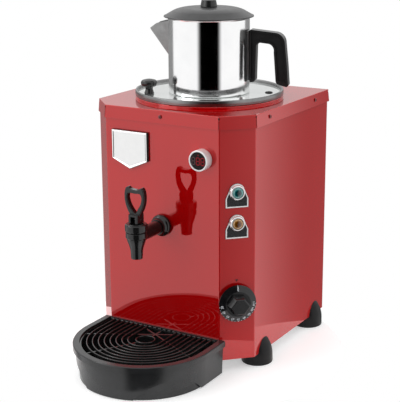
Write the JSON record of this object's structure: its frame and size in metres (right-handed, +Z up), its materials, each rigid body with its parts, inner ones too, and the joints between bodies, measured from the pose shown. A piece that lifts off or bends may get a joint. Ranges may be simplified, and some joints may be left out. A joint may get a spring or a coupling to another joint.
{
  "type": "tea urn",
  "caption": "Counter tea urn: a red lacquered chamfered casing around a water tank, with a lever tap, thermostat knob, half-round drip tray and a steel teapot on its glass lid.",
  "frame": {"origin": "middle of the overall width and depth, on the surface the feet stand on", "axes": "+Z up, +X to the right seen from the front, the tap and drip tray face -Y"},
  "size_m": [0.2708, 0.416, 0.4933],
  "materials": {
    "red_lacquer": "high-gloss red stove enamel",
    "lacquered_screw": "red painted screw heads",
    "screw_steel": "zinc plated",
    "sheet_steel": "galvanised sheet",
    "tank_steel": "drawn stainless steel",
    "mineral_wool": "pressed fibre",
    "element_sheath": "stainless sheath",
    "nickel_brass": "plated brass",
    "white_silicone": "soft silicone",
    "satin_chrome": "satin chrome",
    "bright_chrome": "bright chrome",
    "display_window": "smoked window",
    "black_plate": "black plate with a pale border",
    "green_lens": "green translucent lens",
    "amber_lens": "amber translucent lens",
    "knob_black": "moulded black",
    "copper_tube": "drawn copper",
    "white_enamel": "white enamel",
    "tap_black": "moulded black",
    "black_rubber": "moulded rubber",
    "spring_steel": "bright wire",
    "lid_glass": "clear tempered glass",
    "rim_steel": "rolled stainless band",
    "bakelite": "moulded bakelite",
    "polished_steel": "mirror polished stainless steel",
    "lid_plastic": "dark grey plastic",
    "tray_plastic": "moulded black",
    "grille_plastic": "moulded black",
    "foot_rubber": "moulded rubber",
    "black_nylon": "moulded nylon",
    "cream_nylon": "moulded nylon"
  },
  "bodies": {
    "casing": {"casing_wrap": "red_lacquer", "back_panel": "red_lacquer", "top_cover": "red_lacquer", "cover_screws": "lacquered_screw", "back_screws": "screw_steel", "base_plate": "sheet_steel", "tank": "tank_steel", "tank_insulation": "mineral_wool", "heating_element": "element_sheath", "element_flange": "nickel_brass", "element_gasket": "white_silicone", "element_nuts": "nickel_brass", "temperature_probe": "element_sheath", "display_bezel": "satin_chrome", "display_lens": "display_window", "display_nut": "sheet_steel", "lamp_plates": "black_plate", "lamp_bezels": "bright_chrome", "green_lens": "green_lens", "amber_lens": "amber_lens", "lamp_nuts": "sheet_steel", "thermostat_body": "sheet_steel", "thermostat_nut": "nickel_brass", "capillary_bulb": "copper_tube", "badge_base": "bright_chrome", "badge_face": "white_enamel", "tap_body": "tap_black", "tap_nut": "tap_black", "tap_gasket": "black_rubber", "tank_seals": "white_silicone", "tap_lock_nuts": "nickel_brass", "tap_bonnet": "tap_black", "tap_spring": "spring_steel", "tray_hooks": "sheet_steel", "hook_rivets": "screw_steel", "feet": "foot_rubber", "foot_screws": "screw_steel", "supply_gland": "black_nylon", "gland_nut": "black_nylon", "terminal_block": "cream_nylon"},
    "control_knob": {"control_knob": "knob_black", "knob_shaft": "screw_steel"},
    "tap_plunger": {"tap_plunger": "white_silicone"},
    "tap_lever": {"tap_lever": "tap_black", "tap_pin": "screw_steel"},
    "glass_lid": {"glass_disc": "lid_glass", "glass_lid_rim": "rim_steel", "glass_lid_knob": "bakelite", "lid_knob_screw": "screw_steel", "steam_grommet": "black_rubber"},
    "teapot": {"pot_body": "polished_steel", "pot_spout": "polished_steel", "pot_handle": "bakelite", "pot_handle_bracket": "polished_steel", "pot_handle_screws": "screw_steel"},
    "teapot_lid": {"pot_lid": "lid_plastic", "pot_lid_knob": "bakelite", "pot_lid_screw": "screw_steel"},
    "drip_tray": {"drip_tray": "tray_plastic"},
    "tray_grille": {"tray_grille": "grille_plastic"}
  },
  "joints": [
    {"name": "control_knob_turn", "type": "hinge", "parent": "casing", "child": "control_knob", "pos_m": [0.10665, -0.04475, 0.101], "axis": [-0.7071, 0.7071, 0], "range_deg": [0, 270]},
    {"name": "tap_plunger_slide", "type": "slide", "parent": "casing", "child": "tap_plunger", "axis": [0, 0, 1], "range_m": [0, 0.00424], "deforming": ["tap_spring"]},
    {"name": "tap_lever_hinge", "type": "hinge", "parent": "tap_plunger", "child": "tap_lever", "pos_m": [0, -0.125, 0.2233], "axis": [1, 0, 0], "range_deg": [0, 30], "stiffness_Nm_per_rad": 0.2, "springref_deg": -8.59},
    {"name": "glass_lid_lift", "type": "slide", "parent": "casing", "child": "glass_lid", "axis": [0, 0, 1], "range_m": [0, 0.12]},
    {"name": "teapot_lift", "type": "slide", "parent": "glass_lid", "child": "teapot", "axis": [0, 0, 1], "range_m": [0, 0.15]},
    {"name": "teapot_lid_lift", "type": "slide", "parent": "teapot", "child": "teapot_lid", "axis": [0, 0, 1], "range_m": [0, 0.06]},
    {"name": "drip_tray_slide", "type": "slide", "parent": "casing", "child": "drip_tray", "axis": [0, -1, 0], "range_m": [0, 0.1]},
    {"name": "tray_grille_lift", "type": "slide", "parent": "drip_tray", "child": "tray_grille", "axis": [0, 0, 1], "range_m": [0, 0.05]}
  ],
  "couplings": [
    {"joint": "tap_lever_hinge", "follows": "tap_plunger_slide", "rad_per_m": 123.46}
  ]
}
